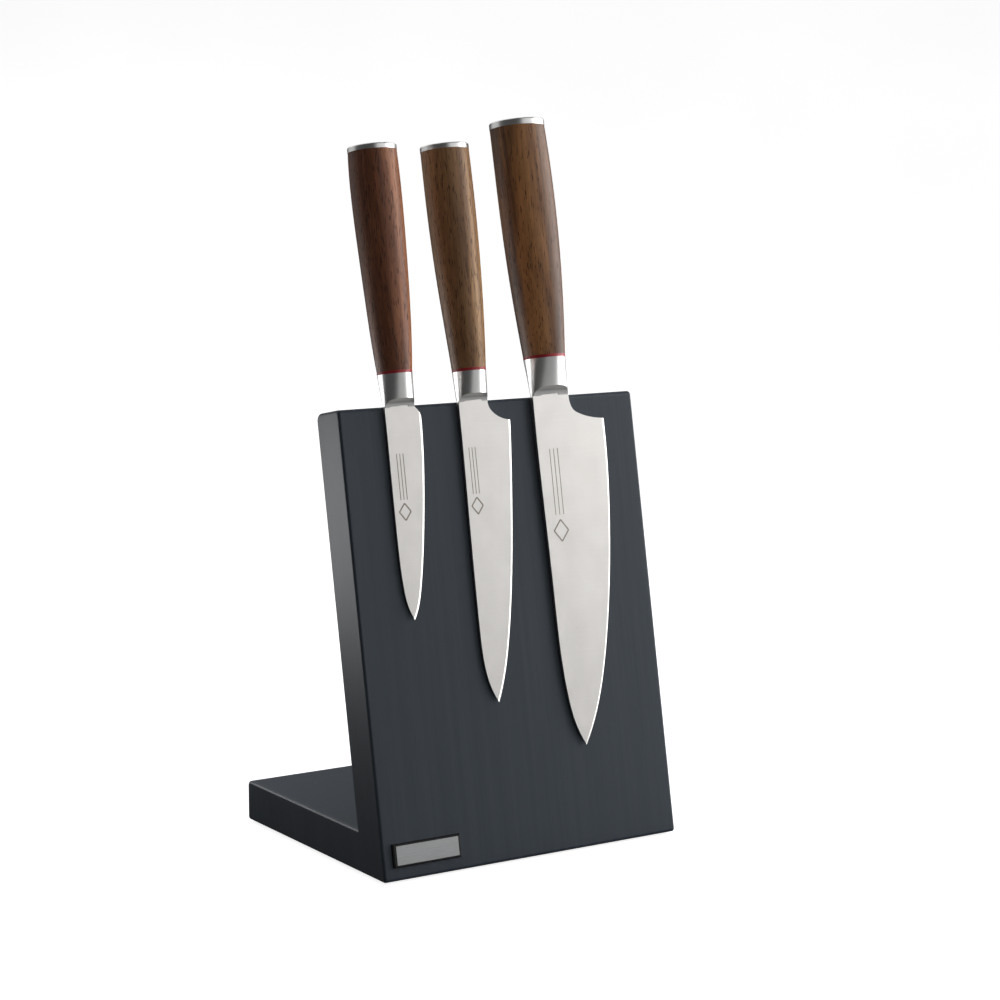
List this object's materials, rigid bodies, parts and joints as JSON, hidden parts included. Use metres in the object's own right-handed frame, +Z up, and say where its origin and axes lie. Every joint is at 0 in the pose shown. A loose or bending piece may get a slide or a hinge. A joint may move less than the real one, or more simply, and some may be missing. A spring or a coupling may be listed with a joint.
{
  "type": "countertop magnetic knife rack",
  "caption": "Leaning black panel on a flat base that holds kitchen knives by hidden magnets, blades flat on its front face and handles up.",
  "frame": {"origin": "centre of the footprint, on the plane the rubber feet stand on", "axes": "+X to the right seen from the front, +Y to the rear, +Z up; the front face leans back 10.6 degrees"},
  "size_m": [0.15, 0.1233, 0.3165],
  "materials": {
    "black_board": "satin black paint over board, faint grain",
    "magnet_nickel": "nickel plate",
    "zinc_steel": "zinc plate",
    "beech": "raw beech",
    "foot_rubber": "matte rubber",
    "badge_carrier": "gloss black",
    "badge_metal": "fine satin",
    "blade_steel": "satin, brushed across the blade",
    "polished_steel": "polished",
    "red_spacer": "polished red fibre",
    "walnut": "oiled walnut with dark pores"
  },
  "bodies": {
    "rack": {"panel_board": "black_board", "base_board": "black_board", "rear_cover": "black_board", "badge_body": "badge_carrier", "badge_plate": "badge_metal", "dowels": "beech", "base_screws": "zinc_steel", "cover_screws": "zinc_steel", "magnet_upper_1": "magnet_nickel", "magnet_upper_2": "magnet_nickel", "magnet_upper_3": "magnet_nickel", "magnet_upper_4": "magnet_nickel", "magnet_upper_5": "magnet_nickel", "magnet_lower_1": "magnet_nickel", "magnet_lower_2": "magnet_nickel", "magnet_lower_3": "magnet_nickel", "magnet_lower_4": "magnet_nickel", "magnet_lower_5": "magnet_nickel", "yoke_upper": "zinc_steel", "yoke_lower": "zinc_steel", "foot_front_left": "foot_rubber", "foot_front_right": "foot_rubber", "foot_rear_left": "foot_rubber", "foot_rear_right": "foot_rubber"},
    "paring_knife": {"paring_blade": "blade_steel", "paring_bolster": "polished_steel", "paring_spacer": "red_spacer", "paring_handle": "walnut", "paring_end_cap": "polished_steel", "paring_tang_rod": "zinc_steel"},
    "utility_knife": {"utility_blade": "blade_steel", "utility_bolster": "polished_steel", "utility_spacer": "red_spacer", "utility_handle": "walnut", "utility_end_cap": "polished_steel", "utility_tang_rod": "zinc_steel"},
    "chef_knife": {"chef_blade": "blade_steel", "chef_bolster": "polished_steel", "chef_spacer": "red_spacer", "chef_handle": "walnut", "chef_end_cap": "polished_steel", "chef_tang_rod": "zinc_steel"}
  },
  "joints": [
    {"name": "paring_pull_off", "type": "slide", "parent": "rack", "child": "paring_knife", "axis": [0, -0.9829, 0.184], "range_m": [0, 0.1]},
    {"name": "utility_pull_off", "type": "slide", "parent": "rack", "child": "utility_knife", "axis": [0, -0.9829, 0.184], "range_m": [0, 0.1]},
    {"name": "chef_pull_off", "type": "slide", "parent": "rack", "child": "chef_knife", "axis": [0, -0.9829, 0.184], "range_m": [0, 0.1]}
  ]
}
